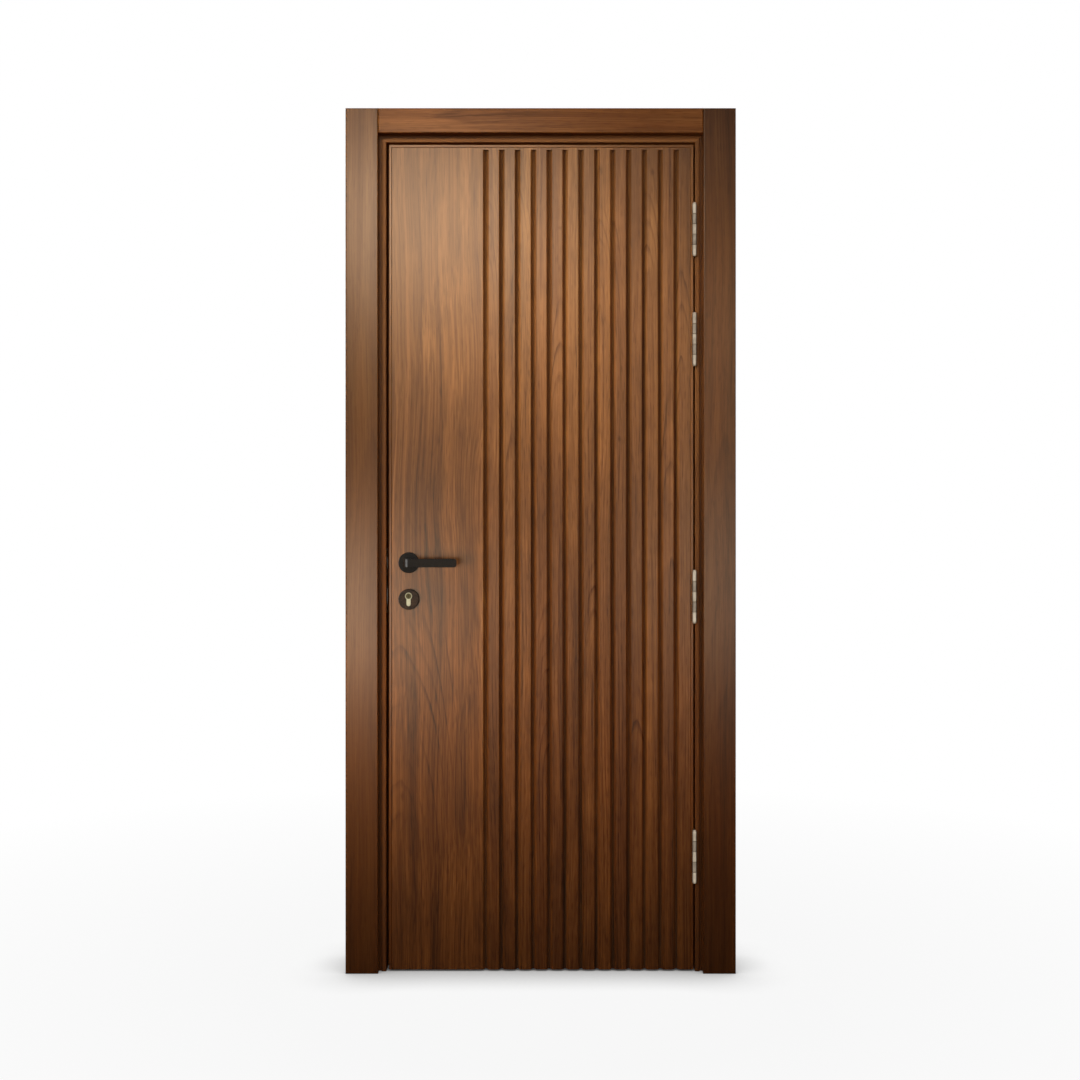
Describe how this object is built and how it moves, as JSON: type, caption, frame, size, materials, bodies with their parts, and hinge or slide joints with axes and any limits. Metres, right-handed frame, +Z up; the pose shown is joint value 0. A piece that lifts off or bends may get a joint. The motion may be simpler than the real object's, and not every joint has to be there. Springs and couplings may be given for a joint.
{
  "type": "flush door with its frame",
  "caption": "Flush walnut door leaf with a plain lock side and a fluted hinge side, hung on butt hinges in a rebated frame with casings, with black lever furniture.",
  "frame": {"origin": "on the wall face of the hinge jamb, at the floor, midway through the wall's thickness", "axes": "+X out of the hinge jamb into the wall, +Y from the front to the back of the wall, +Z up; the front with the hinge knuckles faces -Y"},
  "size_m": [0.9568, 0.194, 2.1215],
  "materials": {
    "frame_walnut": "satin lacquered walnut",
    "casing_walnut": "satin lacquered walnut",
    "lipping_walnut": "satin lacquered walnut",
    "board_walnut": "satin lacquered walnut",
    "stave_walnut": "satin lacquered walnut",
    "core_timber": "bare glued timber",
    "black_furniture": "matt black powder coat",
    "cylinder_brass": "satin brass",
    "lock_steel": "brushed steel",
    "hinge_steel": "satin nickel plated steel"
  },
  "bodies": {
    "frame": {"lock_jamb": "frame_walnut", "hinge_jamb": "frame_walnut", "head_jamb": "frame_walnut", "front_lock_casing": "casing_walnut", "front_hinge_casing": "casing_walnut", "front_head_casing": "casing_walnut", "back_lock_casing": "casing_walnut", "back_hinge_casing": "casing_walnut", "back_head_casing": "casing_walnut", "strike_plate": "lock_steel", "hinge_1_frame_half": "hinge_steel", "hinge_2_frame_half": "hinge_steel", "hinge_3_frame_half": "hinge_steel", "hinge_4_frame_half": "hinge_steel"},
    "leaf": {"leaf_core": "core_timber", "lock_edge_lipping": "lipping_walnut", "hinge_edge_lipping": "lipping_walnut", "top_edge_lipping": "lipping_walnut", "plain_face_board": "board_walnut", "back_face_board": "board_walnut", "stave_01": "stave_walnut", "stave_02": "stave_walnut", "stave_03": "stave_walnut", "stave_04": "stave_walnut", "stave_05": "stave_walnut", "stave_06": "stave_walnut", "stave_07": "stave_walnut", "stave_08": "stave_walnut", "stave_09": "stave_walnut", "stave_10": "stave_walnut", "stave_11": "stave_walnut", "stave_12": "stave_walnut", "stave_13": "stave_walnut", "mortise_lock": "lock_steel", "lock_bolts": "lock_steel", "lock_cylinder": "cylinder_brass", "front_rose": "black_furniture", "back_rose": "black_furniture", "front_escutcheon": "black_furniture", "back_escutcheon": "black_furniture", "hinge_1_leaf_half": "hinge_steel", "hinge_2_leaf_half": "hinge_steel", "hinge_3_leaf_half": "hinge_steel", "hinge_4_leaf_half": "hinge_steel"},
    "lever": {"front_lever": "black_furniture", "back_lever": "black_furniture", "spindle": "lock_steel"}
  },
  "joints": [
    {"name": "door_swing", "type": "hinge", "parent": "frame", "child": "leaf", "pos_m": [-0.04, -0.0666, 1], "axis": [0, 0, 1], "range_deg": [0, 150]},
    {"name": "lever_turn", "type": "hinge", "parent": "leaf", "child": "lever", "pos_m": [-0.743, -0.038, 1.007], "axis": [0, 1, 0], "range_deg": [0, 45], "stiffness_Nm_per_rad": 1.5, "springref_deg": -22.92}
  ]
}
